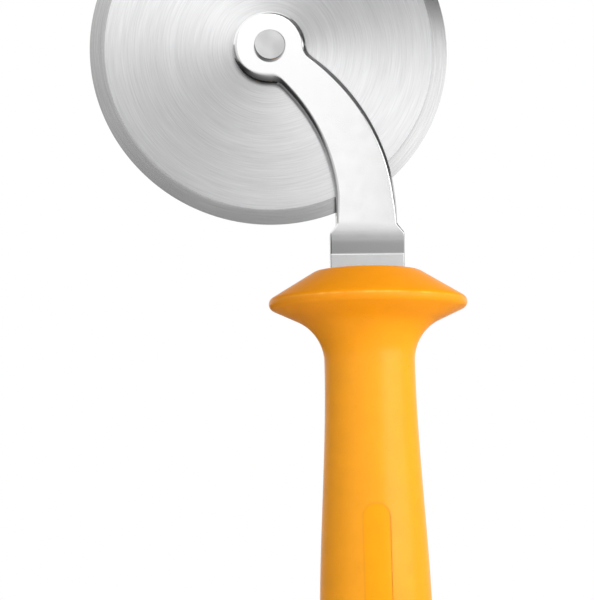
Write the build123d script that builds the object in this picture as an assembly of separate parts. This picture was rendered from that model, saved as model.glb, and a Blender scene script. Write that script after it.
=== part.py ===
from build123d import *
import os
from math import cos, radians, sin, tan

# Pizza cutter: a wheel that turns freely in a fork of two pressed plates, whose tangs are
# moulded into an oval plastic handle with a hand guard.
# Millimetres. The origin is on the handle's axis in the middle of the grip, +Z points from the
# handle to the wheel, the axle lies along Y and the front of the cutter faces -Y.

# Cutting wheel
wheel_diameter = 102.0
wheel_thickness = 1.5
bevel_width = 4.2
edge_land = 0.3
axle_left_of_handle = 26.5
axle_above_rim = 73.7

# Wheel bearing
shank_diameter = 6.0
bush_diameter = 10.0
bush_clearance = 0.03
running_clearance = 0.05
washer_diameter = 17.0
washer_thickness = 0.9
washer_clearance = 0.1
side_play = 0.1

# Axle rivet
head_diameter = 8.9
head_height = 1.5
head_chamfer = 0.25
tail_diameter = 9.6
tail_height = 1.4

# Fork plates
plate_thickness = 2.0
plate_edge_round = 1.2
eye_diameter = 20.9
foot_width = 17.0
outer_arc_above_rim = 24.5
inner_arc_above_rim = 27.0
outer_arc_right_of_axle = 7.85
inner_arc_below_axle = 8.4
notch_round = 4.0
shoulder_width = 21.0
shoulder_top = 22.0
shoulder_drop = 2.5
shoulder_round = 1.5

# Joggle that brings the two plates together above the handle
joggle_angle = 12.5
joggle_radius = 30.0
crease_above_rim = 13.7
crease_radius = 0.8
crease_offset = 0.4
lead_angle = 6.0
lead_radius = 3.0

# Tangs inside the handle
collar_below_top = 6.0
tang_width = 13.0
tang_below_rim = 60.0
lock_hole_diameter = 6.0
lock_hole_below_rim = 30.0
tang_rivet_diameter = 4.0
tang_rivet_head_diameter = 7.0
tang_rivet_head_height = 1.2
tang_rivets_below_rim = (14.0, 46.0)

# Handle
rim_above_grip = 50.0
guard_width = 55.9
guard_rise = 9.2
guard_top_angle = 31.5
guard_under_angle = 25.0
guard_nose_radius = 1.9
guard_top_round = 3.5
neck_width = 25.4
neck_arc_radius = 13.0
neck_below_rim = 18.0
grip_width = 31.2
grip_swell_below_rim = 94.0
butt_below_rim = 118.0
butt_crown = 1.2
butt_fullness = 0.7
oval_ratio = 0.65

# Bare, shallow panel on the front of the grip
panel_width = 7.6
panel_length = 32.0
panel_below_rim = 72.5
panel_depth = 0.25

# Places worked out from the driving dimensions
rim_z = rim_above_grip
top_z = rim_z + guard_rise
butt_z = rim_z - butt_below_rim
axle_x = -axle_left_of_handle
axle_z = rim_z + axle_above_rim
fork_gap = wheel_thickness + 2 * (side_play + washer_thickness)
plate_inner_y = fork_gap / 2
plate_outer_y = plate_inner_y + plate_thickness
collar_z = top_z - collar_below_top
axle_place = Location((axle_x, 0, axle_z))
past_everything = 4 * wheel_diameter

# Settings for choosing faces, edges and corners
hair = 0.01
front_angle = 25.0
seam_angle = -45.0


def turned(points):
    """Solid of revolution about Y of a closed outline of (radius, y) points."""
    return revolve(make_face(Polyline(*points, close=True)), Axis.Y)


def ring(outer_diameter, inner_diameter, low_y, high_y):
    """Plain ring about the axle."""
    outer, inner = outer_diameter / 2, inner_diameter / 2
    return axle_place * turned([(inner, low_y), (outer, low_y), (outer, high_y), (inner, high_y)])


def make_wheel():
    """Disc with a bore for the bush and a bevel ground on both faces towards the edge."""
    bore = bush_diameter / 2 + running_clearance
    edge = wheel_diameter / 2
    half, land = wheel_thickness / 2, edge_land / 2
    outline = [
        (bore, -half),
        (edge - bevel_width, -half),
        (edge, -land),
        (edge, land),
        (edge - bevel_width, half),
        (bore, half),
    ]
    return axle_place * turned(outline)


def make_bush():
    """Sleeve that the rivet clamps between the plates, and on which the wheel turns."""
    return ring(bush_diameter, shank_diameter + 2 * bush_clearance, -plate_inner_y, plate_inner_y)


def make_washer(side):
    """Spacing washer between the wheel and one plate: side is -1 at the front, 1 at the rear."""
    hole = bush_diameter + 2 * washer_clearance
    near, far = sorted((side * plate_inner_y, side * (plate_inner_y - washer_thickness)))
    return ring(washer_diameter, hole, near, far)


def make_axle_rivet():
    """Flat head in front, plain shank, and a low domed tail formed against the rear plate."""
    shank, head, tail = shank_diameter / 2, head_diameter / 2, tail_diameter / 2
    face_y, tail_y = -plate_outer_y - head_height, plate_outer_y + tail_height
    body = Polyline(
        (0, tail_y),
        (0, face_y),
        (head - head_chamfer, face_y),
        (head, face_y + head_chamfer),
        (head, -plate_outer_y),
        (shank, -plate_outer_y),
        (shank, plate_outer_y),
        (tail, plate_outer_y),
    )
    dome = TangentArc((0, tail_y), (tail, plate_outer_y), tangent=(1, 0))
    return axle_place * revolve(make_face([body, dome]), Axis.Y)


def tang_rivet_places():
    """Centres of the tang rivets on the handle's axis."""
    return [Location((0, 0, rim_z - below)) for below in tang_rivets_below_rim]


def make_tang_rivets():
    """Flat-headed rivets that hold the two tangs together inside the handle."""
    shank, head = tang_rivet_diameter / 2, tang_rivet_head_diameter / 2
    seat, end = plate_thickness, plate_thickness + tang_rivet_head_height
    outline = [
        (0, -end),
        (head, -end),
        (head, -seat),
        (shank, -seat),
        (shank, seat),
        (head, seat),
        (head, end),
        (0, end),
    ]
    rivet = turned(outline)
    return [place * rivet for place in tang_rivet_places()]


def plate_outline():
    """Face of one fork plate seen from the front, in local X and Z."""
    foot, shoulder, tang = foot_width / 2, shoulder_width / 2, tang_width / 2
    outer_z, inner_z = rim_z + outer_arc_above_rim, rim_z + inner_arc_above_rim
    foot_z = rim_z + shoulder_top
    tang_z = rim_z - tang_below_rim
    outer_end = (axle_x + outer_arc_right_of_axle, axle_z)
    inner_end = (axle_x, axle_z - inner_arc_below_axle)
    outer_arc = TangentArc((foot, outer_z), outer_end, tangent=(0, 1))
    inner_arc = TangentArc((-foot, inner_z), inner_end, tangent=(0, 1))
    across_eye = Line(outer_end, inner_end)
    left_foot = Line((-foot, inner_z), (-foot, foot_z))
    across_foot = Line((-foot, foot_z), (foot, foot_z))
    right_foot = Line((foot, foot_z), (foot, outer_z))
    arm = make_face([outer_arc, across_eye, inner_arc, left_foot, across_foot, right_foot])
    eye = Pos(axle_x, axle_z) * Rot(0, 0, seam_angle) * Circle(eye_diameter / 2)
    base = make_face(
        Polyline(
            (-foot, foot_z),
            (-shoulder, foot_z - shoulder_drop),
            (-shoulder, collar_z),
            (-tang, collar_z),
            (-tang, tang_z),
            (tang, tang_z),
            (tang, collar_z),
            (shoulder, collar_z),
            (shoulder, foot_z - shoulder_drop),
            (foot, foot_z),
            close=True,
        )
    )
    face = arm + eye + base
    notches = [v for v in face.vertices() if v.Y > inner_z + notch_round]
    face = fillet(notches, notch_round)
    shoulders = [v for v in face.vertices() if abs(v.Y - foot_z) <= shoulder_drop + hair]
    return fillet(shoulders, shoulder_round)


def plate_section():
    """Side view of the front plate, in local Y and Z: upright, joggled inwards, then upright again."""
    to_crease = plate_inner_y - crease_offset
    bend_z = rim_z + crease_above_rim + to_crease / tan(radians(joggle_angle))
    crease_z = rim_z + crease_above_rim
    lead_z = crease_z - crease_offset / tan(radians(lead_angle))
    corners = [
        (-plate_outer_y, axle_z + eye_diameter),
        (-plate_outer_y, bend_z),
        (-plate_outer_y + to_crease, crease_z),
        (-plate_thickness, lead_z),
        (-plate_thickness, rim_z - 2 * tang_below_rim),
    ]
    front = FilletPolyline(*corners, radius=[joggle_radius, crease_radius, lead_radius])
    back = Pos(plate_thickness, 0) * front
    ends = [Line(front @ 0, back @ 0), Line(front @ 1, back @ 1)]
    return make_face([front, back, *ends])


def make_front_arm():
    """Pressed plate: the outline taken out of the joggled sheet, with holes and a rounded front edge."""
    blank = extrude(Plane.XZ * plate_outline(), past_everything / 2, both=True)
    sheet = extrude(Plane.YZ * plate_section(), past_everything / 2, both=True)
    arm = blank & sheet
    front = [face for face in arm.faces() if face.normal_at().Y < -cos(radians(front_angle))]
    seen = [edge for face in front for edge in face.edges()]
    border = [edge for edge in seen if seen.count(edge) == 1 and edge.center().Z > collar_z + hair]
    arm = fillet(border, plate_edge_round)
    arm -= axle_place * turned_hole(shank_diameter / 2 + bush_clearance)
    arm -= Pos(0, 0, rim_z - lock_hole_below_rim) * turned_hole(lock_hole_diameter / 2)
    for place in tang_rivet_places():
        arm -= place * turned_hole(tang_rivet_diameter / 2)
    return arm


def turned_hole(radius):
    """Cylinder along Y, long enough to pass through anything."""
    return Rot(90, 0, 0) * Cylinder(radius, past_everything)


def grip_curve(inset=0.0):
    """Half-width of the grip from the neck down to the swell, upright at both ends."""
    neck, swell = neck_width / 2 - inset, grip_width / 2 - inset
    high_z, low_z = rim_z - neck_below_rim, rim_z - grip_swell_below_rim
    third = (high_z - low_z) / 3
    return Bezier((neck, high_z), (neck, high_z - third), (swell, low_z + third), (swell, low_z))


def oval(profile):
    """Solid of revolution about Z of a half profile, flattened to the handle's oval section."""
    return scale(revolve(Plane.XZ * make_face(profile), Axis.Z), by=(1, oval_ratio, 1))


def handle_body():
    """Guard, neck, grip and butt as one oval solid with a small flat at the butt."""
    top, under = radians(guard_top_angle), radians(guard_under_angle)
    nose = guard_nose_radius / sin(top + under)
    rim_x = guard_width / 2 - guard_nose_radius + nose * (cos(top) + cos(under))
    corner_z = rim_z + nose * (sin(under) - sin(top))
    neck = neck_width / 2
    upper = FilletPolyline(
        (0, top_z),
        (rim_x - (top_z - corner_z) / tan(top), top_z),
        (rim_x, corner_z),
        (neck, corner_z - (rim_x - neck) * tan(under)),
        (neck, rim_z - neck_below_rim),
        radius=[guard_top_round, guard_nose_radius, neck_arc_radius],
    )
    grip = grip_curve()
    swell = grip @ 1
    end_z = butt_z - butt_crown
    drop = (swell.Y - end_z) * butt_fullness
    butt = Bezier(swell, (swell.X, swell.Y - drop), (swell.X / 2, end_z), (0, end_z))
    axis = Line((0, end_z), (0, top_z))
    return split(oval([upper, grip, butt, axis]), Plane.XY.offset(butt_z), keep=Keep.TOP)


def panel_recess():
    """Shallow pocket with rounded ends, whose floor runs parallel to the grip."""
    curve = grip_curve(inset=panel_depth / oval_ratio)
    high, low = curve @ 0, curve @ 1
    core = oval([curve, Polyline(high, (0, high.Y), (0, butt_z), (low.X, butt_z), low)])
    slot = Pos(0, rim_z - panel_below_rim) * Rot(0, 0, 90) * SlotOverall(panel_length, panel_width)
    return extrude(Plane.XZ * slot, past_everything) - core


def make_handle(inserts):
    """Handle moulded round the tangs and their rivets."""
    handle = handle_body() - panel_recess()
    for insert in inserts:
        handle -= insert
    return handle


front_arm = make_front_arm()
rear_arm = mirror(front_arm, about=Plane.XZ)
tang_rivets = make_tang_rivets()

nodes = {
    "cutting_wheel": make_wheel(),
    "wheel_bush": make_bush(),
    "front_washer": make_washer(-1),
    "rear_washer": make_washer(1),
    "axle_rivet": make_axle_rivet(),
    "front_fork_arm": front_arm,
    "rear_fork_arm": rear_arm,
    "tang_rivets": Compound(children=tang_rivets),
    "handle": make_handle([front_arm, rear_arm, *tang_rivets]),
}

os.makedirs("parts", exist_ok=True)
for name, solid in nodes.items():
    export_step(solid, f"parts/{name}.step")
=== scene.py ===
"""Pizza cutter: a brushed blade that turns in a polished fork, in a moulded oval handle.

Each piece is modelled around its CAD node, in the same frame and in metres: +Z runs up the handle
to the blade, the axle lies along Y, and the front of the cutter faces -Y.
"""

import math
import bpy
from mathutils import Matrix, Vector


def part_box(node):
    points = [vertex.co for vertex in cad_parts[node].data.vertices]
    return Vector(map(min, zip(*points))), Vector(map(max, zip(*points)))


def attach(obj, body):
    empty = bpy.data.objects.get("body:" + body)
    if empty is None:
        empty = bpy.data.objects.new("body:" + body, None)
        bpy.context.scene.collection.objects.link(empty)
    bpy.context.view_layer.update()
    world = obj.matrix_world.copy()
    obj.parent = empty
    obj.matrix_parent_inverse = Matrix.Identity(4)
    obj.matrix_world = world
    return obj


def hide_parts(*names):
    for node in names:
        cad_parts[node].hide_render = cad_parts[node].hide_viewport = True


bl_info = {
    "name": "Pizza cutter",
    "version": (1, 0, 0),
    "blender": (4, 5, 0),
    "location": "View3D > Sidebar > Pizza cutter",
    "description": "Models a pizza cutter piece by piece around its CAD frame, in a plain studio",
    "category": "Add Mesh",
}

import bmesh
import bpy
from bpy.props import FloatProperty, FloatVectorProperty, IntProperty, PointerProperty
from bpy.types import Operator, Panel, PropertyGroup
from mathutils import Matrix, Vector

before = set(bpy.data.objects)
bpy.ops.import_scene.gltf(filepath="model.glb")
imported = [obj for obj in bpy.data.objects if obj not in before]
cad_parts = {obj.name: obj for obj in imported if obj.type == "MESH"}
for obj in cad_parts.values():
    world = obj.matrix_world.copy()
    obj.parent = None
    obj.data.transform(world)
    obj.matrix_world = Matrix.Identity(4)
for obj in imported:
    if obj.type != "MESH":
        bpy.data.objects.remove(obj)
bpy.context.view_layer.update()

MM = 0.001

# Places that the CAD frame gives
BLADE_LOW, BLADE_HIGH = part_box("cutting_wheel")
AXLE = (BLADE_LOW + BLADE_HIGH) / 2
BUSH_LOW, BUSH_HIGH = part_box("wheel_bush")
RIVET_LOW, RIVET_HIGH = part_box("axle_rivet")
ARM_LOW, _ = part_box("front_fork_arm")
HANDLE_LOW, HANDLE_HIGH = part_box("handle")
FORK_GAP = BUSH_HIGH.y - BUSH_LOW.y
PLATE_FRONT = ARM_LOW.y
PLATE_THICKNESS = -FORK_GAP / 2 - PLATE_FRONT

# Points nearer than this are merged
MERGE = 0.0005 * MM
# The ends of a drawn outline are joined over this gap, and points this near a bend stay put
JOIN = 0.001 * MM
# Lengths nearer than this count as the same
HAIR = 0.01 * MM
# A drawn outline that ends further off than this has gone astray
STRAY = 0.02 * MM
# A flat face gets a border this narrow, so that its shading stays flat beside a rounded edge
FLAT_BORDER = 0.05 * MM
# A face whose normal has this much of an axis faces along that axis
SQUARE_ON = 0.9
# Noise seldom leaves this span
NOISE_SPAN = (0.3, 0.7)
# Sockets of a Mix node that mixes colours: its factor, its two colours and its result
MIX_FACTOR, MIX_FIRST, MIX_SECOND, MIX_RESULT = 0, 6, 7, 2


def linear(hex_code):
    """Linear red, green and blue of an sRGB hex colour."""
    channels = [int(hex_code[i : i + 2], 16) / 255 for i in (0, 2, 4)]
    return tuple(c / 12.92 if c <= 0.04045 else ((c + 0.055) / 1.055) ** 2.4 for c in channels)


def length(name, description, default):
    """A length that a user may change."""
    return FloatProperty(
        name=name, description=description, default=default, unit="LENGTH", precision=5
    )


def angle(name, description, degrees):
    """An angle that a user may change."""
    return FloatProperty(
        name=name, description=description, default=math.radians(degrees), subtype="ANGLE"
    )


def amount(name, description, default):
    """A plain number that a user may change."""
    return FloatProperty(name=name, description=description, default=default, min=0.0)


def facets(description, default):
    """A number of facets that a user may change."""
    return IntProperty(name="Segments", description=description, default=default, min=16)


def colour(name, description, hex_code):
    """A colour that a user may change."""
    return FloatVectorProperty(
        name=name,
        description=description,
        default=linear(hex_code),
        subtype="COLOR",
        min=0.0,
        max=1.0,
    )


class BladeSettings(PropertyGroup):
    """Sizes and colours of the blade"""

    radius: length("Radius", "From the axle to the cutting edge", (BLADE_HIGH.x - BLADE_LOW.x) / 2)
    thickness: length("Thickness", "Thickness of the flat", BLADE_HIGH.y - BLADE_LOW.y)
    bevel_width: length("Bevel width", "Width of the bevel ground on each face", 4.2 * MM)
    bevel_blend: length("Bevel blend", "How far the bevel's start is blended each way", 0.8 * MM)
    edge_land: length("Edge land", "Thickness left at the cutting edge", 0.3 * MM)
    bore_radius: length("Bore radius", "Radius of the hole that turns on the bush", 5.05 * MM)
    segments: facets("Facets round the blade", 256)
    steel: colour("Steel", "Colour of the brushed stainless steel", "FEFEFF")
    ground_steel: colour("Ground steel", "Colour of the ground bevel", "D6D6D6")


class ForkSettings(PropertyGroup):
    """Sizes and colours of the two fork plates"""

    eye_radius: length("Eye radius", "Outside radius of the eye round the axle", 10.45 * MM)
    foot_width: length("Foot width", "Width of the arm above the shoulder", 17.0 * MM)
    outer_start: length("Outer arc start", "Height where the outer edge curves", 74.5 * MM)
    inner_start: length("Inner arc start", "Height where the inner edge curves", 77.0 * MM)
    outer_reach: length("Outer arc reach", "How far right of the axle that arc passes", 7.85 * MM)
    inner_reach: length("Inner arc reach", "How far below the axle that arc passes", 8.4 * MM)
    notch_round: length("Notch rounding", "Radius between the eye and the arm's edges", 4.0 * MM)
    shoulder_width: length("Shoulder width", "Width where plates enter the handle", 21.0 * MM)
    shoulder_top: length("Shoulder top", "Height where the arm starts to widen", 72.0 * MM)
    shoulder_drop: length("Shoulder drop", "Height of the sloping shoulder", 2.5 * MM)
    shoulder_round: length("Shoulder rounding", "Radius at both ends of the shoulder", 1.5 * MM)
    collar_height: length("Collar height", "Height where the tang narrows", 53.2 * MM)
    tang_width: length("Tang width", "Width of the tang inside the handle", 13.0 * MM)
    edge_round: length("Edge rounding", "How far in the edges that face down are round", 2.7 * MM)
    edge_drop: length("Edge drop", "How far back that rounding goes", 1.75 * MM)
    least_round: amount("Least rounding", "Rounding of other edges, as a part of the most", 0.5)
    back_round: length("Back edge rounding", "Radius of the edge that faces the blade", 0.2 * MM)
    joggle_start: length("Joggle start", "Height where the plate bends inwards", 73.1 * MM)
    joggle_radius: length("Joggle radius", "Radius of the soft bend", 30.0 * MM)
    joggle_angle: angle("Joggle angle", "How far the plate leans inwards", 12.5)
    crease_angle: angle("Crease angle", "How far the narrow crease leans outwards", 4.0)
    crease_width: length("Crease width", "Width of the narrow pressed crease", 0.22 * MM)
    crease_height: length("Crease height", "Height of the crease above the origin", 63.7 * MM)
    lead_angle: angle("Lead angle", "How far the last stretch leans inwards", 6.0)
    steel: colour("Steel", "Colour of the polished stainless steel", "FCFCFC")
    # Painted shade: a dark colour on the wall under the eye stands in for the shadowed gap at the
    # blade
    shade_steel: colour("Dull steel", "Colour of the unpolished wall under the eye", "3C3C3E")


class RivetSettings(PropertyGroup):
    """Sizes and colour of the axle rivet"""

    shank_radius: length("Shank radius", "Radius of the shank in the plates", 3.0 * MM)
    head_radius: length("Head radius", "Radius of the flat front head", 4.45 * MM)
    head_chamfer: length("Head chamfer", "Chamfer round the front head", 0.25 * MM)
    tail_radius: length("Tail radius", "Radius of the formed rear head", 4.8 * MM)
    segments: facets("Facets round the rivet", 96)
    steel: colour("Steel", "Colour of the plain satin steel", "DCDCDC")


class HandleSettings(PropertyGroup):
    """Sizes and colours of the moulded handle"""

    rim_height: length("Rim height", "Height of the guard's rim above the origin", 50.0 * MM)
    top_angle: angle("Guard top angle", "Slope of the guard above its rim", 31.5)
    under_angle: angle("Guard underside angle", "Slope of the guard below its rim", 25.0)
    nose_radius: length("Rim rounding", "Radius of the guard's rim", 1.9 * MM)
    top_round: length("Top rounding", "Radius between the guard and its flat top", 3.5 * MM)
    neck_width: length("Neck width", "Width of the thinnest part of the grip", 25.4 * MM)
    neck_arc: length("Neck arc", "Radius between the guard's underside and neck", 13.0 * MM)
    neck_height: length("Neck height", "Height where the grip starts to swell", 32.0 * MM)
    swell_width: length("Swell width", "Width of the thickest part of the grip", 31.2 * MM)
    swell_height: length("Swell height", "Height of the thickest part of the grip", -44.0 * MM)
    butt_crown: length("Butt crown", "How far the butt's dome would pass its flat", 1.2 * MM)
    panel_width: length("Panel width", "Width of the bare panel", 7.6 * MM)
    panel_length: length("Panel length", "Length of the bare panel", 32.0 * MM)
    panel_height: length("Panel height", "Height of the panel's middle", -22.5 * MM)
    panel_depth: length("Panel depth", "Depth of the panel's recess", 0.15 * MM)
    segments: facets("Facets round the handle", 160)
    # Painted highlight: a pale line painted along the guard's rim stands in for the light it
    # catches
    highlight_height: length("Worn line height", "Height of the worn line on the rim", 50.45 * MM)
    highlight_width: length("Worn line width", "Width of the worn line on the rim", 0.75 * MM)
    plastic: colour("Plastic", "Colour of the moulded polypropylene", "EE930B")
    # Painted light: a paler, yellower colour on the grip stands in for the strong light on it
    grip: colour("Grip plastic", "Colour of the plastic where hands have faded it", "F19D0C")
    # Painted highlight: the colour of the pale line painted along the rim
    painted_highlight: colour("Worn plastic", "Colour of the plastic where the rim is worn", "FFBA50")


class StageSettings(PropertyGroup):
    """Camera, floor and light of the plain studio"""

    camera_place: FloatVectorProperty(
        name="Camera place",
        description="Where the photograph was taken from",
        default=(-55.0 * MM, -596.2 * MM, -44.2 * MM),
        subtype="TRANSLATION",
    )
    camera_azimuth: angle("Camera azimuth", "Direction of the camera round the handle", -3.36)
    camera_elevation: angle("Camera elevation", "Height of the camera, negative from below", -9.07)
    camera_roll: angle("Camera roll", "Turn of the camera about its line of sight", -1.20)
    lens: FloatProperty(
        name="Lens", description="Focal length in millimetres", default=129.44, subtype="UNSIGNED"
    )
    floor_colour: colour("Floor", "Colour of the plain pale floor", "ECECEC")
    floor_lift: amount("Floor lift", "How much paler the floor is in the picture", 0.35)
    ambient: amount("Ambient light", "Level of the even light", 0.64)
    key: amount("Key light", "Brightness of the softbox at the right", 7.0)
    key_azimuth: angle("Key azimuth", "Direction of that softbox round the handle", 42.0)
    key_distance: length("Key distance", "From the handle to that softbox", 0.6)
    key_width: length("Key width", "Width of that softbox", 0.46)
    key_height: length("Key height", "Height of that softbox", 0.13)
    fill: amount("Fill light", "Brightness of the softbox behind", 1.0)
    bounce: amount("Bounce light", "Brightness of the lying softbox", 0.4)


def add_node(tree, kind, inputs=(), **settings):
    """Adds a node with its settings, and sets its inputs, by order or by name.

    An input is a value, another node's output, or a node, which stands for its first output.
    """
    node = tree.nodes.new("ShaderNode" + kind)
    for name, value in settings.items():
        setattr(node, name, value)
    for name, value in inputs.items() if isinstance(inputs, dict) else enumerate(inputs):
        if isinstance(value, bpy.types.Node):
            value = value.outputs[0]
        if isinstance(value, bpy.types.NodeSocket):
            tree.links.new(value, node.inputs[name])
        else:
            node.inputs[name].default_value = value
    return node


def new_material(name):
    """A material with an empty tree of nodes, and that tree."""
    material = bpy.data.materials.new(name)
    material.use_nodes = True
    material.node_tree.nodes.clear()
    return material, material.node_tree


def opaque(rgb):
    """A colour with full alpha."""
    return (*rgb, 1.0)


def brushed_stainless(name, rgb, roughness, anisotropy, groove):
    """Stainless steel ground in circles round the axle: fine rings that fan the light out."""
    # Grinding marks are about 0.1 mm apart: drawn 0.22 mm apart so that they show
    mark_spacing, mark_span, darkest_mark = 0.22 * MM, (0.25, 0.75), 0.8
    # A mark runs round the axle for about 50 times its width
    mark_stretch = 50.0
    # The grinding disc also leaves broad bands
    band_spacing, darkest_band = 5.0 * MM, 0.93
    material, tree = new_material(name)
    place = add_node(tree, "TexCoord").outputs["Object"]
    centred = add_node(
        tree,
        "Mapping",
        {"Vector": place, "Location": (-AXLE.x, 0.0, -AXLE.z), "Scale": (1.0, 0.0, 1.0)},
    )
    radius = add_node(tree, "VectorMath", [centred], operation="LENGTH").outputs["Value"]
    around = add_node(
        tree, "VectorMath", {0: centred, "Scale": 1.0 / mark_stretch}, operation="SCALE"
    )
    apart = add_node(tree, "SeparateXYZ", [around]).outputs
    ring_place = add_node(tree, "CombineXYZ", [radius, apart["X"], apart["Z"]])
    rings = add_node(
        tree,
        "TexNoise",
        {"Vector": ring_place, "Scale": 1.0 / mark_spacing, "Detail": 3.0, "Roughness": 0.6},
    )
    streaks = add_node(tree, "MapRange", [rings, *mark_span, darkest_mark, 1.0])
    band_place = add_node(tree, "CombineXYZ", [radius])
    bands = add_node(
        tree, "TexNoise", {"Vector": band_place, "Scale": 1.0 / band_spacing, "Detail": 3.0}
    )
    bands = add_node(tree, "MapRange", [bands, *NOISE_SPAN, darkest_band, 1.0])
    tone = add_node(tree, "Math", [streaks, bands], operation="MULTIPLY")
    shade = add_node(tree, "VectorMath", {0: tuple(rgb), "Scale": tone}, operation="SCALE")
    shader = add_node(
        tree,
        "BsdfPrincipled",
        {
            "Base Color": shade,
            "Metallic": 1.0,
            "Roughness": roughness,
            "Anisotropic": anisotropy,
            "Anisotropic Rotation": 0.25,
            "Tangent": add_node(tree, "Tangent", direction_type="RADIAL", axis="Y"),
            "Normal": add_node(
                tree, "Bump", {"Height": rings, "Strength": 1.0, "Distance": groove}
            ),
        },
    )
    add_node(tree, "OutputMaterial", [shader])
    return material


def smooth_metal(name, rgb, roughness, ripple):
    """Metal worked smooth: reflections that faint ripples soften unevenly."""
    # Polishing leaves ripples about this far apart
    ripple_spacing = 4.0 * MM
    spread = roughness * 0.8, roughness * 1.2
    material, tree = new_material(name)
    place = add_node(tree, "TexCoord").outputs["Object"]
    ripples = add_node(
        tree, "TexNoise", {"Vector": place, "Scale": 1.0 / ripple_spacing, "Detail": 2.0}
    )
    shader = add_node(
        tree,
        "BsdfPrincipled",
        {
            "Base Color": opaque(rgb),
            "Metallic": 1.0,
            "Roughness": add_node(tree, "MapRange", [ripples, *NOISE_SPAN, *spread]),
            "Normal": add_node(
                tree, "Bump", {"Height": ripples, "Strength": 1.0, "Distance": ripple}
            ),
        },
    )
    add_node(tree, "OutputMaterial", [shader])
    return material


def moulded_plastic(name, rgb, roughness, sheen, grain, grain_size, handle_sizes=None):
    """Plastic from a polished mould: a soft sheen, a fine grain and, for the handle, marks of use
    and painted light.
    """
    # Pigment drifts a little as the plastic flows into the mould
    drift_size, darkest, palest = 6.0 * MM, 0.97, 1.03
    spread = roughness * 0.9, roughness * 1.1
    material, tree = new_material(name)
    place = add_node(tree, "TexCoord").outputs["Object"]
    texture = add_node(
        tree, "TexNoise", {"Vector": place, "Scale": 1.0 / grain_size, "Detail": 3.0}
    )
    drift = add_node(tree, "TexNoise", {"Vector": place, "Scale": 1.0 / drift_size, "Detail": 4.0})
    tone = add_node(tree, "MapRange", [drift, *NOISE_SPAN, darkest, palest])
    shade = tuple(rgb)
    if handle_sizes:
        shade, tone, sheen = marks_and_painted_light(tree, place, drift, tone, sheen, handle_sizes)
    shade = add_node(tree, "VectorMath", {0: shade, "Scale": tone}, operation="SCALE")
    shader = add_node(
        tree,
        "BsdfPrincipled",
        {
            "Base Color": shade,
            "Roughness": add_node(tree, "MapRange", [texture, *NOISE_SPAN, *spread]),
            "IOR": 1.49,
            "Specular IOR Level": sheen,
            "Normal": add_node(
                tree, "Bump", {"Height": texture, "Strength": 1.0, "Distance": grain}
            ),
        },
    )
    add_node(tree, "OutputMaterial", [shader])
    return material


def difference(tree, value, target):
    """How far a value is from a target, either way."""
    gap = add_node(tree, "Math", [value, target], operation="SUBTRACT")
    return add_node(tree, "Math", [gap], operation="ABSOLUTE")


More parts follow.
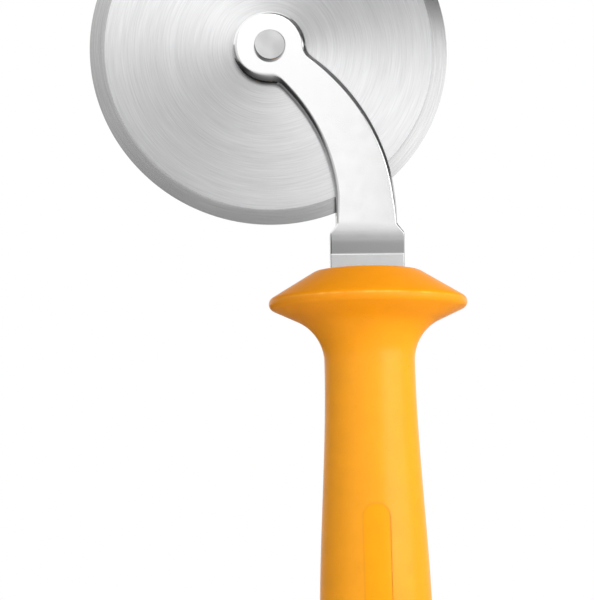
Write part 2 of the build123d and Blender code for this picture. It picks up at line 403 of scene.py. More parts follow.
def marks_and_painted_light(tree, place, drift, tone, sheen, sizes):
    """Colour, tone and sheen of the handle with its marks of use and painted light.

    The grip is painted paler and yellower to stand in for the strong light on it, a painted
    highlight runs along the rim, the guard's top has stayed dull, and painted shade darkens a line
    round the bare panel.
    """
    apart = add_node(tree, "SeparateXYZ", [place]).outputs
    rim, half_line = sizes.highlight_height, sizes.highlight_width / 2
    # Painted light: the grip's paler, yellower colour stands in for the strong light on it; it
    # starts below the rim and is full further down
    lit_start, lit_end = rim - 4 * MM, rim - 20 * MM
    lit_share = add_node(tree, "MapRange", [apart["Z"], lit_end, lit_start, 1.0, 0.0])
    colours = {MIX_FIRST: opaque(sizes.plastic), MIX_SECOND: opaque(sizes.grip)}
    mixed = add_node(tree, "Mix", {MIX_FACTOR: lit_share, **colours}, data_type="RGBA")
    # The painted highlight along the rim is sharp in its core, patchy, and weaker towards the
    # guard's two sides
    core, patch_span, patch_levels = 0.2 * half_line, (0.42, 0.58), (0.15, 0.7)
    middle, sides, side_share = 14 * MM, 24 * MM, 0.2
    patches = add_node(tree, "MapRange", [drift, *patch_span, *patch_levels])
    aside = add_node(tree, "Math", [apart["X"]], operation="ABSOLUTE")
    inwards = add_node(tree, "MapRange", [aside, middle, sides, 1.0, side_share])
    patches = add_node(tree, "Math", [patches, inwards], operation="MULTIPLY")
    from_rim = difference(tree, apart["Z"], rim)
    line = add_node(tree, "MapRange", [from_rim, core, half_line, patches, 0.0])
    colours = {MIX_FIRST: mixed.outputs[MIX_RESULT], MIX_SECOND: opaque(sizes.painted_highlight)}
    mixed = add_node(tree, "Mix", {MIX_FACTOR: line, **colours}, data_type="RGBA")
    # Hands polish the grip, and the guard's top above the rim stays duller
    dull_top = 0.15 * sheen
    levels = (rim - half_line, rim + half_line)
    sheen = add_node(tree, "MapRange", [apart["Z"], *levels, sheen, dull_top])
    # Distance from the middle line of the panel, which has round ends
    half_width = sizes.panel_width / 2
    half_run = (sizes.panel_length - sizes.panel_width) / 2
    from_middle = difference(tree, apart["Z"], sizes.panel_height)
    past_run = add_node(tree, "Math", [from_middle, half_run], operation="SUBTRACT")
    past_run = add_node(tree, "Math", [past_run, 0.0], operation="MAXIMUM")
    spot = add_node(tree, "CombineXYZ", [apart["X"], past_run])
    out = add_node(tree, "VectorMath", [spot], operation="LENGTH").outputs["Value"]
    front = add_node(tree, "Math", [apart["Y"], 0.0], operation="LESS_THAN")
    # Painted shade darkens a narrow line round the panel's edge
    shade_core, shade_edge, shaded_tone = 0.1 * MM, 0.4 * MM, 0.9
    edge = difference(tree, out, half_width)
    edge_shade = add_node(tree, "MapRange", [edge, shade_core, shade_edge, 1.0, 0.0])
    edge_shade = add_node(tree, "Math", [front, edge_shade], operation="MULTIPLY")
    darker = add_node(tree, "MapRange", [edge_shade, 0.0, 1.0, 1.0, shaded_tone])
    tone = add_node(tree, "Math", [tone, darker], operation="MULTIPLY")
    # Hands don't reach the panel's floor, so it is duller than the grip
    wall, unpolished = 0.3 * MM, 0.4
    floor = add_node(tree, "MapRange", [out, half_width - wall, half_width, 1.0, 0.0])
    floor = add_node(tree, "Math", [front, floor], operation="MULTIPLY")
    duller = add_node(tree, "MapRange", [floor, 0.0, 1.0, 1.0, unpolished])
    sheen = add_node(tree, "Math", [sheen, duller], operation="MULTIPLY")
    return mixed.outputs[MIX_RESULT], tone, sheen


def leave_all():
    """Leaves edit mode and deselects all objects."""
    if bpy.context.mode != "OBJECT":
        bpy.ops.object.mode_set(mode="OBJECT")
    bpy.ops.object.select_all(action="DESELECT")


def select_whole():
    """Selects the whole of the open piece."""
    bpy.ops.mesh.select_all(action="SELECT")


def open_whole():
    """Opens the active piece for editing, with the whole of it selected."""
    bpy.ops.object.mode_set(mode="EDIT")
    select_whole()


def begin(add, name, scale=(1.0, 1.0, 1.0), **settings):
    """Adds a primitive, puts its place into its mesh and opens it for editing, alone."""
    leave_all()
    add(**settings)
    piece = bpy.context.active_object
    piece.name = name
    piece.data.name = name
    piece.scale = scale
    bpy.ops.object.transform_apply(location=True, rotation=True, scale=True)
    bpy.ops.object.mode_set(mode="EDIT")
    return piece


def begin_on_axle(name, vertices, radius, depth):
    """Begins a piece with a cylinder about the axle."""
    return begin(
        bpy.ops.mesh.primitive_cylinder_add,
        name,
        vertices=vertices,
        radius=radius,
        depth=depth,
        location=AXLE,
        rotation=(math.pi / 2, 0.0, 0.0),
    )


def pick(piece, kind, test):
    """Selects only the verts, edges or faces of the open piece that pass a test."""
    modes = {"verts": "VERT", "edges": "EDGE", "faces": "FACE"}
    bpy.ops.mesh.select_mode(type=modes[kind])
    bpy.ops.mesh.select_all(action="DESELECT")
    mesh = bmesh.from_edit_mesh(piece.data)
    for part in [part for part in getattr(mesh, kind) if test(part)]:
        part.select_set(True)
    mesh.select_flush_mode()
    bmesh.update_edit_mesh(piece.data)


def close_to(value, target):
    """True if two lengths are the same within a hair."""
    return abs(value - target) < HAIR


def extrude(x, y, z):
    """Extrudes what is selected by a step."""
    bpy.ops.mesh.extrude_region_move(TRANSFORM_OT_translate={"value": (x, y, z)})


def resize(x, y, z, centre=(0.0, 0.0, 0.0)):
    """Scales what is selected about a centre."""
    bpy.ops.transform.resize(value=(x, y, z), center_override=centre)


def turn_about_x(radians, centre):
    """Turns what is selected by the right-hand rule: windowless, Blender turns the other way."""
    bpy.ops.transform.rotate(
        value=-radians, orient_axis="X", orient_type="GLOBAL", center_override=centre
    )


def cut_level(height, **settings):
    """Cuts the whole of the open piece along a level plane."""
    select_whole()
    bpy.ops.mesh.bisect(
        plane_co=(0.0, 0.0, height), plane_no=(0.0, 0.0, 1.0), threshold=MERGE, **settings
    )


def only(piece):
    """Leaves edit mode and selects the piece alone, as the active one."""
    leave_all()
    piece.select_set(True)
    bpy.context.view_layer.objects.active = piece


def copy_of(piece, name):
    """A copy of a piece with a mesh of its own, open for editing and selected all over."""
    only(piece)
    bpy.ops.object.duplicate()
    copy = bpy.context.active_object
    copy.name = name
    copy.data.name = name
    open_whole()
    return copy


def cut_away(piece, tool):
    """Cuts a tool out of the piece, and deletes the tool."""
    only(piece)
    modifier = piece.modifiers.new("cut", "BOOLEAN")
    modifier.operation = "DIFFERENCE"
    modifier.solver = "EXACT"
    modifier.object = tool
    bpy.ops.object.modifier_apply(modifier=modifier.name)
    only(tool)
    bpy.ops.object.delete()
    only(piece)


def tidy(piece):
    """Merges doubles, points all faces outwards and leaves edit mode."""
    only(piece)
    open_whole()
    bpy.ops.mesh.remove_doubles(threshold=MERGE)
    bpy.ops.mesh.normals_make_consistent(inside=False)
    bpy.ops.object.mode_set(mode="OBJECT")


def dress(piece, node, body, slot, *materials, smooth_below):
    """Finishes a piece: shading, materials, and its body, in place of its CAD node.

    Faces that meet at less than smooth_below degrees are shaded as one smooth surface. The slot is
    not used.
    """
    only(piece)
    bpy.ops.object.shade_smooth_by_angle(angle=math.radians(smooth_below))
    for material in materials:
        piece.data.materials.append(material)
    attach(piece, body)
    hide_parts(node)


def flat(point):
    """A point of the front view, as (x, z), from a vector or a pair."""
    return Vector((point[0], point[1]))


def upright(point, y=0.0):
    """A point of the front view put at a depth."""
    return Vector((point[0], y, point[1]))


def arc_to(centre, end, turning):
    """A move along an arc: turning is 1 for anticlockwise in the front view, else -1."""
    return ("arc", flat(centre), flat(end), turning)


def line_to(end):
    """A move along a straight line."""
    return ("line", None, flat(end), 0)


def rounded(points, radii):
    """Moves from the first point to the last, with each corner between rounded by its radius."""
    moves = []
    for before, corner, after, radius in zip(points, points[1:], points[2:], radii):
        back = (flat(before) - flat(corner)).normalized()
        ahead = (flat(after) - flat(corner)).normalized()
        half = back.angle(ahead) / 2
        reach = radius / math.tan(half)
        centre = flat(corner) + (back + ahead).normalized() * radius / math.sin(half)
        turning = 1 if back.cross(ahead) < 0 else -1
        moves.append(line_to(flat(corner) + back * reach))
        moves.append(arc_to(centre, flat(corner) + ahead * reach, turning))
    moves.append(line_to(points[-1]))
    return moves


def meeting_point(first, first_distance, second, second_distance):
    """The point at given distances from two centres, on the left of the line between them."""
    apart = flat(second) - flat(first)
    along = (apart.length_squared + first_distance**2 - second_distance**2) / (2 * apart.length)
    across = math.sqrt(first_distance**2 - along**2)
    ahead = apart.normalized()
    return flat(first) + ahead * along + Vector((-ahead.y, ahead.x)) * across


def draw(piece, start, moves, facet, y=0.0, stride=None):
    """Draws an outline: one vertex is extruded along lines, by strides, and spun along arcs."""
    select_whole()
    bpy.ops.mesh.merge(type="CENTER")
    at = flat(start)
    mesh = bmesh.from_edit_mesh(piece.data)
    mesh.verts.ensure_lookup_table()
    mesh.verts[0].co = upright(at, y)
    bmesh.update_edit_mesh(piece.data)
    bpy.ops.mesh.select_mode(type="VERT")
    select_whole()
    for kind, centre, end, turning in moves:
        if kind == "line":
            steps = max(1, round((end - at).length / stride)) if stride else 1
            step = upright((end - at) / steps)
            for _ in range(steps):
                bpy.ops.mesh.extrude_vertices_move(TRANSFORM_OT_translate={"value": step})
        else:
            first, last = at - centre, end - centre
            sweep = math.atan2(first.cross(last), first.dot(last)) * turning % (2 * math.pi)
            bpy.ops.mesh.spin(
                steps=max(2, round(sweep * first.length / facet)),
                angle=sweep,
                center=upright(centre, y),
                axis=(0.0, turning, 0.0),
                use_auto_merge=False,
            )
        at = end
        reached = [v.co for v in bmesh.from_edit_mesh(piece.data).verts if v.select]
        if len(reached) != 1 or (reached[0] - upright(at, y)).length > STRAY:
            raise RuntimeError(f"{piece.name}'s outline went astray near {tuple(at)}: {reached}")


def fill_and_extrude(depth):
    """Closes the drawn outline, fills it and extrudes it along Y."""
    select_whole()
    bpy.ops.mesh.remove_doubles(threshold=JOIN)
    bpy.ops.mesh.edge_face_add()
    extrude(0.0, depth, 0.0)


class AddBlade(Operator):
    """Models the blade: a disc with a bevel ground on both faces and a bore for the bush"""

    bl_idname = "mesh.cutter_blade"
    bl_label = "Blade"

    def execute(self, context):
        sizes = context.scene.cutter_blade
        ring_start = sizes.radius - sizes.bevel_width
        rise = (sizes.thickness - sizes.edge_land) / 2
        blade = begin_on_axle("blade", sizes.segments, sizes.radius, sizes.edge_land)
        for side in (-1, 1):
            pick(blade, "faces", lambda face: face.normal.y * side > SQUARE_ON)
            bpy.ops.mesh.inset(thickness=sizes.bevel_width)
            bpy.ops.transform.translate(value=(0.0, side * rise, 0.0))
            bpy.ops.mesh.inset(thickness=ring_start - sizes.bore_radius)
            bpy.ops.mesh.delete(type="FACE")
        pick(blade, "edges", lambda edge: edge.is_boundary)
        bpy.ops.mesh.bridge_edge_loops()
        pick(
            blade,
            "edges",
            lambda edge: all(close_to(self.reach(vert.co), ring_start) for vert in edge.verts),
        )
        bpy.ops.mesh.bevel(offset=sizes.bevel_blend, segments=4, profile=0.5, affect="EDGES")
        tidy(blade)
        # Brushed in circles, so that the light fans out from the axle
        face_steel = brushed_stainless(
            "brushed_stainless_blade",
            sizes.steel,
            roughness=0.36,
            anisotropy=0.85,
            groove=0.0006 * MM,
        )
        # Ground finer, so that the bevel is a plainer and darker ring
        edge_steel = brushed_stainless(
            "ground_stainless_bevel",
            sizes.ground_steel,
            roughness=0.22,
            anisotropy=0.2,
            groove=0.0004 * MM,
        )
        steels = (face_steel, edge_steel)
        dress(blade, "cutting_wheel", "wheel", "wheel_steel", *steels, smooth_below=5)
        for face in blade.data.polygons:
            face.material_index = 1 if self.reach(face.center) > ring_start else 0
        return {"FINISHED"}

    def reach(self, point):
        """Distance of a point from the axle."""
        return math.hypot(point.x - AXLE.x, point.z - AXLE.z)


def fork_outline(sizes):
    """Start and moves of a plate's outline, anticlockwise from the foot of the outer arc."""
    foot, shoulder, tang = sizes.foot_width / 2, sizes.shoulder_width / 2, sizes.tang_width / 2
    axle = Vector((AXLE.x, AXLE.z))
    outer_foot, inner_foot = Vector((foot, sizes.outer_start)), Vector((-foot, sizes.inner_start))
    outer_lean = axle + Vector((sizes.outer_reach, 0.0)) - outer_foot
    inner_lean = axle - Vector((0.0, sizes.inner_reach)) - inner_foot
    outer_radius = -outer_lean.length_squared / (2 * outer_lean.x)
    inner_radius = -inner_lean.length_squared / (2 * inner_lean.x)
    outer_centre = outer_foot - Vector((outer_radius, 0.0))
    inner_centre = inner_foot - Vector((inner_radius, 0.0))
    notch = sizes.notch_round
    upper = meeting_point(axle, sizes.eye_radius + notch, outer_centre, outer_radius + notch)
    lower = meeting_point(axle, sizes.eye_radius + notch, inner_centre, inner_radius - notch)
    upper_on_arc = outer_centre + (upper - outer_centre).normalized() * outer_radius
    upper_on_eye = axle + (upper - axle).normalized() * sizes.eye_radius
    lower_on_eye = axle + (lower - axle).normalized() * sizes.eye_radius
    lower_on_arc = inner_centre + (lower - inner_centre).normalized() * inner_radius
    moves = [
        arc_to(outer_centre, upper_on_arc, 1),
        arc_to(upper, upper_on_eye, -1),
        arc_to(axle, lower_on_eye, 1),
        arc_to(lower, lower_on_arc, -1),
        arc_to(inner_centre, inner_foot, -1),
    ]
    slope = sizes.shoulder_top - sizes.shoulder_drop
    soft, hard = sizes.shoulder_round, sizes.shoulder_round / 2
    corners = [
        inner_foot,
        (-foot, sizes.shoulder_top),
        (-shoulder, slope),
        (-shoulder, sizes.collar_height),
        (-tang, sizes.collar_height),
        (-tang, ARM_LOW.z),
        (tang, ARM_LOW.z),
        (tang, sizes.collar_height),
        (shoulder, sizes.collar_height),
        (shoulder, slope),
        (foot, sizes.shoulder_top),
        outer_foot,
    ]
    return outer_foot, moves + rounded(corners, [soft] * 2 + [hard] * 6 + [soft] * 2)


def plate_bends(sizes):
    """Heights on the flat plate and turns of its bends, from the bottom up: inwards is positive."""
    soft_steps, hard_steps, hard_step = 12, 3, 0.08 * MM
    arc = sizes.joggle_radius * sizes.joggle_angle
    soft_drop = sizes.joggle_radius * math.sin(sizes.joggle_angle)
    soft_inset = sizes.joggle_radius * (1 - math.cos(sizes.joggle_angle))
    slope = (sizes.joggle_start - soft_drop - sizes.crease_height) / math.cos(sizes.joggle_angle)
    inset = soft_inset + slope * math.sin(sizes.joggle_angle)
    inset -= sizes.crease_width * math.sin(sizes.crease_angle)
    lead = (FORK_GAP / 2 - inset) / math.sin(sizes.lead_angle)
    crease_top = sizes.joggle_start - arc - slope
    crease_foot = crease_top - sizes.crease_width
    bends = [(crease_foot - lead, -sizes.lead_angle)]
    crease_turns = (
        (crease_foot, sizes.crease_angle + sizes.lead_angle),
        (crease_top, -sizes.joggle_angle - sizes.crease_angle),
    )
    for height, whole in crease_turns:
        for step in range(hard_steps):
            bends.append((height + (step - hard_steps // 2) * hard_step, whole / hard_steps))
    for step in range(soft_steps):
        height = sizes.joggle_start - arc + (step + 0.5) * arc / soft_steps
        bends.append((height, sizes.joggle_angle / soft_steps))
    return bends


class AddFork(Operator):
    """Models the two fork plates: outlined, thickened, rounded at the front and joggled together"""

    bl_idname = "mesh.cutter_fork"
    bl_label = "Fork plates"

    def execute(self, context):
        sizes = context.scene.cutter_fork
        front = begin(bpy.ops.mesh.primitive_plane_add, "front_plate", size=MM)
        start, moves = fork_outline(sizes)
        draw(front, start, moves, facet=0.35 * MM, y=PLATE_FRONT, stride=0.7 * MM)
        fill_and_extrude(PLATE_THICKNESS)
        select_whole()
        bpy.ops.mesh.normals_make_consistent(inside=False)
        self.ease_back_edge(front, sizes)
        self.buff_front_edge(front, sizes)
        self.joggle(front, sizes)
        shank_radius = context.scene.cutter_rivet.shank_radius
        cut_away(front, begin_on_axle("hole", vertices=64, radius=shank_radius, depth=20 * MM))
        tidy(front)
        rear = copy_of(front, "rear_plate")
        resize(1.0, -1.0, 1.0)
        tidy(rear)
        # Buffed bright, so that it mirrors the studio
        bright = smooth_metal(
            "polished_stainless_fork", sizes.steel, roughness=0.14, ripple=0.0002 * MM
        )
        # Painted shade: the wall under the eye is made dark, with a blurred sheen, for the shadowed
        # gap at the blade
        dull = smooth_metal(
            "mill_finish_stainless", sizes.shade_steel, roughness=0.4, ripple=0.002 * MM
        )
        for plate, node, outwards in ((front, "front_fork_arm", -1), (rear, "rear_fork_arm", 1)):
            dress(plate, node, "frame", "fork_steel", bright, dull, smooth_below=35)
            for face in plate.data.polygons:
                face.material_index = 1 if self.is_under_eye(face, outwards, sizes) else 0
        return {"FINISHED"}

    def ease_back_edge(self, plate, sizes):
        """Rounds the edge that faces the blade."""
        back = PLATE_FRONT + PLATE_THICKNESS
        pick(plate, "edges", lambda edge: all(close_to(vert.co.y, back) for vert in edge.verts))
        bpy.ops.mesh.bevel(
            offset=sizes.back_round, segments=2, profile=0.5, affect="EDGES", clamp_overlap=False
        )

    def buff_front_edge(self, plate, sizes):
        """Rounds the front edge, most where it faces down, with the plate made deeper for it."""
        # Towards the shoulder the rounding narrows to a share of the least, over a height
        foot_share, foot_height, below_top = 0.3, 10 * MM, 2 * MM
        # The wide rounding narrows quickly where the edge turns away from facing down
        narrowing = 4
        mesh = bmesh.from_edit_mesh(plate.data)
        weights = mesh.edges.layers.float.new("bevel_weight_edge")
        for edge in mesh.edges:
            if all(close_to(vert.co.y, PLATE_FRONT) for vert in edge.verts):
                wall = min(edge.link_faces, key=lambda face: abs(face.normal.y))
                height = (edge.verts[0].co.z + edge.verts[1].co.z) / 2
                down = max(0.0, -wall.normal.z) if height > sizes.shoulder_top else 0.0
                climbed = height - sizes.shoulder_top + below_top
                clear = min(1.0, max(0.0, climbed / foot_height))
                least = sizes.least_round * (foot_share + (1.0 - foot_share) * clear)
                edge[weights] = least + (1.0 - least) * down**narrowing
        bmesh.update_edit_mesh(plate.data)
        deeper = sizes.edge_round / sizes.edge_drop
        self.deepen(deeper)
        bevel = plate.modifiers.new("buffing", "BEVEL")
        bevel.limit_method = "WEIGHT"
        bevel.width = sizes.edge_round
        bevel.segments = 10
        bevel.use_clamp_overlap = False
        bpy.ops.object.modifier_apply(modifier=bevel.name)
        self.deepen(1.0 / deeper)

    def deepen(self, factor):
        """Stretches the active plate away from its front face."""
        open_whole()
        resize(1.0, factor, 1.0, (0.0, PLATE_FRONT, 0.0))
        bpy.ops.object.mode_set(mode="OBJECT")

    def joggle(self, plate, sizes):
        """Bends the plate inwards above the handle, and straight again for the tang."""
        # The front face is square on to the front and has more than a few corners
        square, few = 0.999, 20
        bpy.ops.object.mode_set(mode="EDIT")
        pick(plate, "faces", lambda face: face.normal.y < -square and len(face.verts) > few)
        bpy.ops.mesh.inset(thickness=FLAT_BORDER)
        bends = plate_bends(sizes)
        for height, _ in bends:
            cut_level(height)
        for height, bend in bends:
            pick(plate, "verts", lambda vert: vert.co.z < height - JOIN)
            turn_about_x(bend, (0.0, PLATE_FRONT, height))

    def is_under_eye(self, face, outwards, sizes):
        """True for the faces of the rounded wall under the eye."""
        least_turned, least_down, margin = 0.6, 0.3, 0.3 * MM
        if face.normal.y * outwards >= least_turned or face.normal.z >= -least_down:
            return False
        return math.dist(face.center.xz, AXLE.xz) < sizes.eye_radius + margin


class AddRivet(Operator):
    """Models the axle rivet: a flat chamfered head, a shank and a low formed tail"""

    bl_idname = "mesh.cutter_rivet"
    bl_label = "Axle rivet"

    def execute(self, context):
        sizes = context.scene.cutter_rivet
        plate_rear = -PLATE_FRONT
        rivet = begin_on_axle("rivet", sizes.segments, sizes.shank_radius, plate_rear - PLATE_FRONT)
        pick(rivet, "faces", lambda face: face.normal.y < -SQUARE_ON)
        head_height = PLATE_FRONT - RIVET_LOW.y
        self.rise(0.0, sizes.head_radius / sizes.shank_radius)
        self.rise(-(head_height - sizes.head_chamfer), 1.0)
        self.rise(-sizes.head_chamfer, (sizes.head_radius - sizes.head_chamfer) / sizes.head_radius)
        bpy.ops.mesh.inset(thickness=FLAT_BORDER)
        pick(rivet, "faces", lambda face: close_to(face.calc_center_median().y, plate_rear))
        self.rise(0.0, sizes.tail_radius / sizes.shank_radius)
        self.dome(RIVET_HIGH.y - plate_rear)
        tidy(rivet)
        # Satin, so that it is a soft grey with no clear reflections
        steel = smooth_metal(
            "satin_stainless_rivet", sizes.steel, roughness=0.38, ripple=0.001 * MM
        )
        dress(rivet, "axle_rivet", "frame", "rivet_steel", steel, smooth_below=25)
        return {"FINISHED"}

    def rise(self, height, factor):
        """Extrudes the selected end along the axle and scales it."""
        extrude(0.0, height, 0.0)
        resize(factor, 1.0, factor, AXLE)

    def dome(self, height):
        """Raises the selected end to a low dome with a small flat in the middle."""
        steps, whole_lean = 8, math.radians(80)
        reached, width = 0.0, 1.0
        for step in range(1, steps + 1):
            lean = whole_lean * step / steps
            level = height * math.sin(lean) / math.sin(whole_lean)
            self.rise(level - reached, math.cos(lean) / width)
            reached, width = level, math.cos(lean)


def bezier(points, steps):
    """Points along a cubic curve, after its first."""
    for step in range(1, steps + 1):
        t = step / steps
        weights = ((1 - t) ** 3, 3 * t * (1 - t) ** 2, 3 * t**2 * (1 - t), t**3)
        yield [sum(w * p[axis] for w, p in zip(weights, points)) for axis in (0, 1)]


def handle_profile(sizes):
    """Start and moves of half the handle's profile, from the middle of its top to its butt."""
    grip_steps, butt_steps, butt_fullness = 60, 40, 0.7
    top, under = sizes.top_angle, sizes.under_angle
    nose = sizes.nose_radius / math.sin(top + under)
    rim_x = HANDLE_HIGH.x - sizes.nose_radius + nose * (math.cos(top) + math.cos(under))
    rim_z = sizes.rim_height + nose * (math.sin(under) - math.sin(top))
    neck, swell = sizes.neck_width / 2, sizes.swell_width / 2
    neck_z, swell_z, top_z = sizes.neck_height, sizes.swell_height, HANDLE_HIGH.z
    corners = [
        (0.0, top_z),
        (rim_x - (top_z - rim_z) / math.tan(top), top_z),
        (rim_x, rim_z),
        (neck, rim_z - (rim_x - neck) * math.tan(under)),
        (neck, neck_z),
    ]
    moves = rounded(corners, [sizes.top_round, sizes.nose_radius, sizes.neck_arc])
    third = (neck_z - swell_z) / 3
    grip = [(neck, neck_z), (neck, neck_z - third), (swell, swell_z + third), (swell, swell_z)]
    end_z = HANDLE_LOW.z - sizes.butt_crown
    drop = (swell_z - end_z) * butt_fullness
    butt = [(swell, swell_z), (swell, swell_z - drop), (swell / 2, end_z), (0.0, end_z)]
    moves += [line_to(point) for point in bezier(grip, grip_steps)]
    moves += [line_to(point) for point in bezier(butt, butt_steps)]
    return corners[0], moves


class AddHandle(Operator):
    """Models the handle: a profile spun round, flattened to an oval, recessed and slotted"""

    bl_idname = "mesh.cutter_handle"
    bl_label = "Handle"

    def execute(self, context):
        sizes = context.scene.cutter_handle
        handle = begin(bpy.ops.mesh.primitive_plane_add, "handle_moulding", size=MM)
        start, moves = handle_profile(sizes)
        draw(handle, start, moves, facet=0.5 * MM)
        select_whole()
        bpy.ops.mesh.spin(
            steps=sizes.segments, angle=2 * math.pi, center=(0.0, 0.0, 0.0), axis=(0.0, 0.0, 1.0)
        )
        oval = (HANDLE_HIGH.y - HANDLE_LOW.y) / (HANDLE_HIGH.x - HANDLE_LOW.x)
        select_whole()
        resize(1.0, oval, 1.0)
        tidy(handle)
        bpy.ops.object.mode_set(mode="EDIT")
        cut_level(HANDLE_LOW.z, clear_inner=True, use_fill=True)
        self.recess(handle, sizes)
        self.slot(handle, context.scene.cutter_fork)
        tidy(handle)
        # Polypropylene from a polished mould: a deep colour under a soft sheen
        plastic = moulded_plastic(
            "moulded_polypropylene",
            sizes.plastic,
            roughness=0.3,
            sheen=0.35,
            grain=0.004 * MM,
            grain_size=0.5 * MM,
            handle_sizes=sizes,
        )
        dress(handle, "handle", "frame", "handle_plastic", plastic, smooth_below=30)
        return {"FINISHED"}

    def recess(self, handle, sizes):
        """Cuts the shallow bare panel, whose floor runs parallel to the grip."""
        core = copy_of(handle, "core")
        bpy.ops.transform.shrink_fatten(value=-sizes.panel_depth)
        half_width = sizes.panel_width / 2
        half_run = (sizes.panel_length - sizes.panel_width) / 2
        upper, lower = sizes.panel_height + half_run, sizes.panel_height - half_run
        moves = [
            arc_to((0.0, upper), (-half_width, upper), 1),
            line_to((-half_width, lower)),
            arc_to((0.0, lower), (half_width, lower), 1),
            line_to((half_width, upper)),
        ]
        in_front = 2 * HANDLE_LOW.y
        panel = begin(bpy.ops.mesh.primitive_plane_add, "panel", size=MM)
        draw(panel, (half_width, upper), moves, facet=0.25 * MM, y=in_front)
        fill_and_extrude(-in_front)
        tidy(panel)
        cut_away(panel, core)
        cut_away(handle, panel)

    def slot(self, handle, fork):
        """Cuts the slot that the moulding leaves round the two tangs."""
        room, above = 0.01 * MM, 10 * MM
        shoulder, tang = fork.shoulder_width + 2 * room, fork.tang_width + 2 * room
        height = HANDLE_HIGH.z - fork.collar_height + above
        slot = begin(
            bpy.ops.mesh.primitive_cube_add,
            "slot",
            size=1.0,
            location=(0.0, 0.0, (fork.collar_height + HANDLE_HIGH.z) / 2 + above / 2),
            scale=(shoulder, 2 * PLATE_THICKNESS + 2 * room, height),
        )
        pick(slot, "faces", lambda face: face.normal.z < -SQUARE_ON)
        extrude(0.0, 0.0, 0.0)
        resize(tang / shoulder, 1.0, 1.0)
        extrude(0.0, 0.0, ARM_LOW.z - room - fork.collar_height)
        tidy(slot)
        cut_away(handle, slot)


class FinishInnerPieces(Operator):
    """Gives the hidden pieces, which keep their CAD shapes, their real finishes"""

    bl_idname = "object.cutter_inner_pieces"
    bl_label = "Inner pieces"

    def execute(self, context):
        # Turned bronze: a soft yellow gleam
        bronze = smooth_metal(
            "turned_bearing_bronze", linear("B08D4C"), roughness=0.3, ripple=0.001 * MM
        )
        # Natural nylon: milky, with a dull sheen
        nylon = moulded_plastic(
            "moulded_nylon",
            linear("E6E4DA"),
            roughness=0.45,
            sheen=0.5,
            grain=0.003 * MM,
            grain_size=0.4 * MM,
        )
        finishes = {
            "wheel_bush": bronze,
            "front_washer": nylon,
            "rear_washer": nylon,
            "tang_rivets": bpy.data.materials["satin_stainless_rivet"],
        }
        for name, material in finishes.items():
            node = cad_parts[name]
            node.data.materials.clear()
            node.data.materials.append(material)
        return {"FINISHED"}


def pointing(azimuth, elevation):
    """The direction at an azimuth, which is 0 in front and grows to the right, and elevation."""
    level = math.cos(elevation)
    return Vector((math.sin(azimuth) * level, -math.cos(azimuth) * level, math.sin(elevation)))


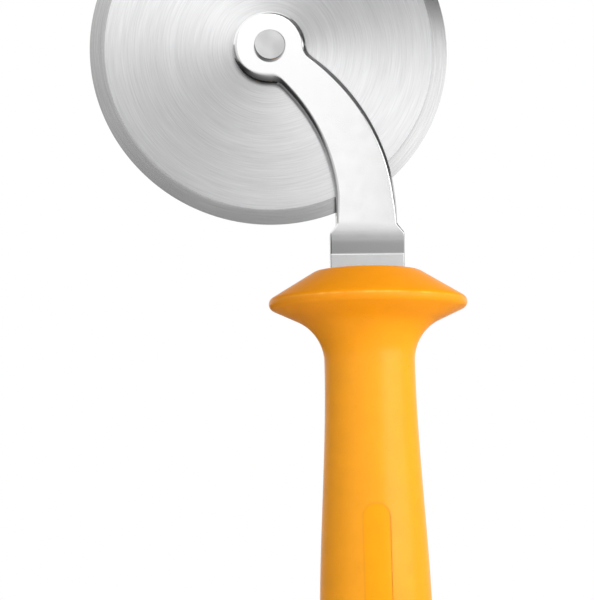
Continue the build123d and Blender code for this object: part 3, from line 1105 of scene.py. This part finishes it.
class SetStage(Operator):
    """Sets up the camera, the pale floor and the plain soft light"""

    bl_idname = "scene.cutter_stage"
    bl_label = "Studio"

    def execute(self, context):
        settings = context.scene.cutter_stage
        self.place_camera(context, settings)
        self.lay_floor(settings)
        key_lift, bounce_lift = 70 * MM, 2 * MM
        self.stand_softbox(
            context,
            "key_softbox",
            settings.key,
            azimuth=settings.key_azimuth,
            distance=settings.key_distance,
            height=HANDLE_LOW.z + settings.key_height / 2 + key_lift,
            size=(settings.key_width, settings.key_height),
        )
        self.stand_softbox(
            context,
            "fill_softbox",
            settings.fill,
            azimuth=math.radians(195),
            distance=1.5,
            height=1.0,
            size=(1.0, 0.8),
        )
        self.stand_softbox(
            context,
            "bounce_softbox",
            settings.bounce,
            azimuth=math.radians(35),
            distance=0.22,
            height=HANDLE_LOW.z + bounce_lift,
            size=(0.3, 0.2),
            tilt=math.pi,
        )
        self.hang_cards()
        self.lay_carpet()
        self.light(context, settings)
        context.scene.view_settings.view_transform = "Standard"
        return {"FINISHED"}

    def place_camera(self, context, settings):
        """A camera at the photograph's place and angle."""
        data = bpy.data.cameras.new("camera")
        data.lens = settings.lens
        data.sensor_width = 36.0
        data.clip_start, data.clip_end = 0.01, 100.0
        camera = bpy.data.objects.new("camera", data)
        context.scene.collection.objects.link(camera)
        azimuth, roll = settings.camera_azimuth, settings.camera_roll
        back = pointing(azimuth, settings.camera_elevation)
        right = Vector((math.cos(azimuth), math.sin(azimuth), 0.0))
        up = back.cross(right)
        rolled_right = right * math.cos(roll) + up * math.sin(roll)
        rolled_up = up * math.cos(roll) - right * math.sin(roll)
        axes = Matrix((rolled_right, rolled_up, back)).transposed()
        camera.matrix_world = Matrix.Translation(settings.camera_place) @ axes.to_4x4()
        context.scene.camera = camera

    def lay_floor(self, settings):
        """A wide pale floor under the butt, paler in the picture but not in the light it gives."""
        gap = 0.05 * MM
        floor = begin(
            bpy.ops.mesh.primitive_plane_add,
            "floor",
            size=20.0,
            location=(0.0, 0.0, HANDLE_LOW.z - gap),
        )
        bpy.ops.object.mode_set(mode="OBJECT")
        material, tree = new_material("pale_matt_floor")
        matt = add_node(
            tree,
            "BsdfPrincipled",
            {
                "Base Color": opaque(settings.floor_colour),
                "Roughness": 0.9,
                "Specular IOR Level": 0.0,
            },
        )
        seen = add_node(tree, "LightPath").outputs["Is Camera Ray"]
        lift = add_node(tree, "Math", [seen, settings.floor_lift], operation="MULTIPLY")
        pale = add_node(tree, "Emission", {"Strength": lift})
        both = add_node(tree, "AddShader", [matt, pale])
        add_node(tree, "OutputMaterial", [both])
        floor.data.materials.append(material)

    def stand_softbox(
        self, context, name, level, azimuth, distance, height, size, tilt=math.pi / 2
    ):
        """A softbox that faces the handle or, lying on its back, upwards."""
        data = bpy.data.lights.new(name, "AREA")
        data.shape = "RECTANGLE"
        data.size, data.size_y = size
        data.energy = level * math.pi * data.size * data.size_y
        # A limited spread leaves no hard line on the floor
        data.spread = math.radians(110)
        softbox = bpy.data.objects.new(name, data)
        context.scene.collection.objects.link(softbox)
        softbox.location = (math.sin(azimuth) * distance, -math.cos(azimuth) * distance, height)
        softbox.rotation_euler = (tilt, 0.0, azimuth)
        softbox.visible_camera = False
        softbox.visible_glossy = False

    def hang_cards(self):
        """Grey and white cards out of the picture, which only glossy surfaces show."""
        distance = 0.9
        # Name, azimuths, elevations, and levels at the lower and the upper edge
        cards = (
            ("left_card", (-42.0, -10.0), (-3.0, 30.0), (0.5, 0.9)),
            ("far_left_card", (-110.0, -42.0), (-12.0, 19.0), (0.16, 0.4)),
            ("low_card", (-10.0, 9.0), (-12.0, 8.0), (0.36, 0.98)),
            ("brow_card", (-10.0, 9.0), (20.0, 30.0), (2.1, 2.1)),
            ("key_card", (38.0, 62.0), (-12.0, 13.0), (0.34, 0.44)),
            ("strip_card", (16.0, 38.0), (-5.0, 13.0), (1.7, 1.6)),
            ("shelf_card", (9.0, 16.0), (6.0, 18.5), (0.45, 0.45)),
            ("ledge_card", (16.0, 34.0), (13.0, 18.5), (1.7, 1.5)),
            ("gap_card", (34.0, 62.0), (13.0, 18.5), (0.15, 0.05)),
            ("upper_right_card", (10.0, 62.0), (18.5, 60.0), (0.02, 0.3)),
            ("upper_far_right_card", (62.0, 120.0), (19.0, 60.0), (0.05, 0.1)),
            ("far_right_card", (62.0, 120.0), (-20.0, 19.0), (0.7, 0.7)),
        )
        for name, azimuths, elevations, levels in cards:
            spans = (azimuths, elevations)
            azimuth, elevation = (math.radians(sum(span) / 2) for span in spans)
            width, height = (
                2 * distance * math.tan(math.radians(last - first) / 2) for first, last in spans
            )
            card = begin(
                bpy.ops.mesh.primitive_plane_add,
                name,
                scale=(width, height, 1.0),
                size=1.0,
                location=AXLE + pointing(azimuth, elevation) * distance,
                rotation=(math.pi / 2 - elevation, 0.0, azimuth),
            )
            bpy.ops.object.mode_set(mode="OBJECT")
            heights = [vert.co.z for vert in card.data.vertices]
            material, tree = new_material(name)
            place = add_node(tree, "TexCoord").outputs["Object"]
            up = add_node(tree, "SeparateXYZ", [place]).outputs["Z"]
            level = add_node(tree, "MapRange", [up, min(heights), max(heights), *levels])
            self.glow(card, material, level)

    def lay_carpet(self):
        """A carpet over the floor that only glossy surfaces show, dark near the cutter and left."""
        carpet = begin(
            bpy.ops.mesh.primitive_circle_add,
            "dark_carpet",
            vertices=64,
            radius=5.0,
            fill_type="NGON",
            location=(0.0, 0.0, HANDLE_LOW.z + 1 * MM),
        )
        bpy.ops.object.mode_set(mode="OBJECT")
        nearest, farthest, far_span, growth = 0.02, 0.62, 1.4, 0.75
        left, right, left_share, right_share = -0.25, 0.1, 0.1, 1.3
        material, tree = new_material(carpet.name)
        place = add_node(tree, "TexCoord").outputs["Object"]
        far = add_node(tree, "VectorMath", [place], operation="LENGTH").outputs["Value"]
        far = add_node(tree, "Math", [far, growth], operation="POWER")
        level = add_node(tree, "MapRange", [far, 0.0, far_span, nearest, farthest])
        across = add_node(tree, "SeparateXYZ", [place]).outputs["X"]
        share = add_node(tree, "MapRange", [across, left, right, left_share, right_share])
        level = add_node(tree, "Math", [level, share], operation="MULTIPLY")
        self.glow(carpet, material, level)

    def glow(self, card, material, level):
        """Lights a card at its level, and hides it from all but glossy surfaces."""
        shader = add_node(material.node_tree, "Emission", {"Strength": level})
        add_node(material.node_tree, "OutputMaterial", [shader])
        card.data.materials.append(material)
        card.visible_camera = False
        card.visible_diffuse = False
        card.visible_shadow = False

    def light(self, context, settings):
        """Even light from all round, and a white background that metal shows too."""
        white = (1.0, 1.0, 1.0, 1.0)
        world = bpy.data.worlds.new("studio")
        context.scene.world = world
        world.use_nodes = True
        tree = world.node_tree
        tree.nodes.clear()
        rays = add_node(tree, "LightPath").outputs
        shown = rays["Is Camera Ray"]
        for ray in ("Is Glossy Ray", "Is Transmission Ray"):
            shown = add_node(tree, "Math", [shown, rays[ray]], operation="MAXIMUM")
        even = add_node(tree, "Background", {"Color": white, "Strength": settings.ambient})
        backdrop = add_node(tree, "Background", {"Color": white, "Strength": 1.0})
        mixed = add_node(tree, "MixShader", [shown, even, backdrop])
        add_node(tree, "OutputWorld", [mixed])


class CutterPanel(Panel):
    """Lists the pieces of the pizza cutter and the studio"""

    bl_idname = "VIEW3D_PT_pizza_cutter"
    bl_label = "Pizza cutter"
    bl_space_type = "VIEW_3D"
    bl_region_type = "UI"
    bl_category = "Pizza cutter"

    def draw(self, context):
        for operator in OPERATORS:
            self.layout.operator(operator.bl_idname)


SETTINGS = {
    "cutter_blade": BladeSettings,
    "cutter_fork": ForkSettings,
    "cutter_rivet": RivetSettings,
    "cutter_handle": HandleSettings,
    "cutter_stage": StageSettings,
}
OPERATORS = (AddBlade, AddFork, AddRivet, AddHandle, FinishInnerPieces, SetStage)


def register():
    """Registers the settings, the operators and the panel."""
    for name, group in SETTINGS.items():
        bpy.utils.register_class(group)
        setattr(bpy.types.Scene, name, PointerProperty(type=group))
    for operator in OPERATORS:
        bpy.utils.register_class(operator)
    bpy.utils.register_class(CutterPanel)


def unregister():
    """Takes the panel, the operators and the settings off again."""
    bpy.utils.unregister_class(CutterPanel)
    for operator in reversed(OPERATORS):
        bpy.utils.unregister_class(operator)
    for name, group in reversed(SETTINGS.items()):
        delattr(bpy.types.Scene, name)
        bpy.utils.unregister_class(group)


def main():
    register()
    bpy.ops.mesh.cutter_blade()
    bpy.ops.mesh.cutter_fork()
    bpy.ops.mesh.cutter_rivet()
    bpy.ops.mesh.cutter_handle()
    bpy.ops.object.cutter_inner_pieces()
    bpy.ops.scene.cutter_stage()


if __name__ == "__main__":
    main()
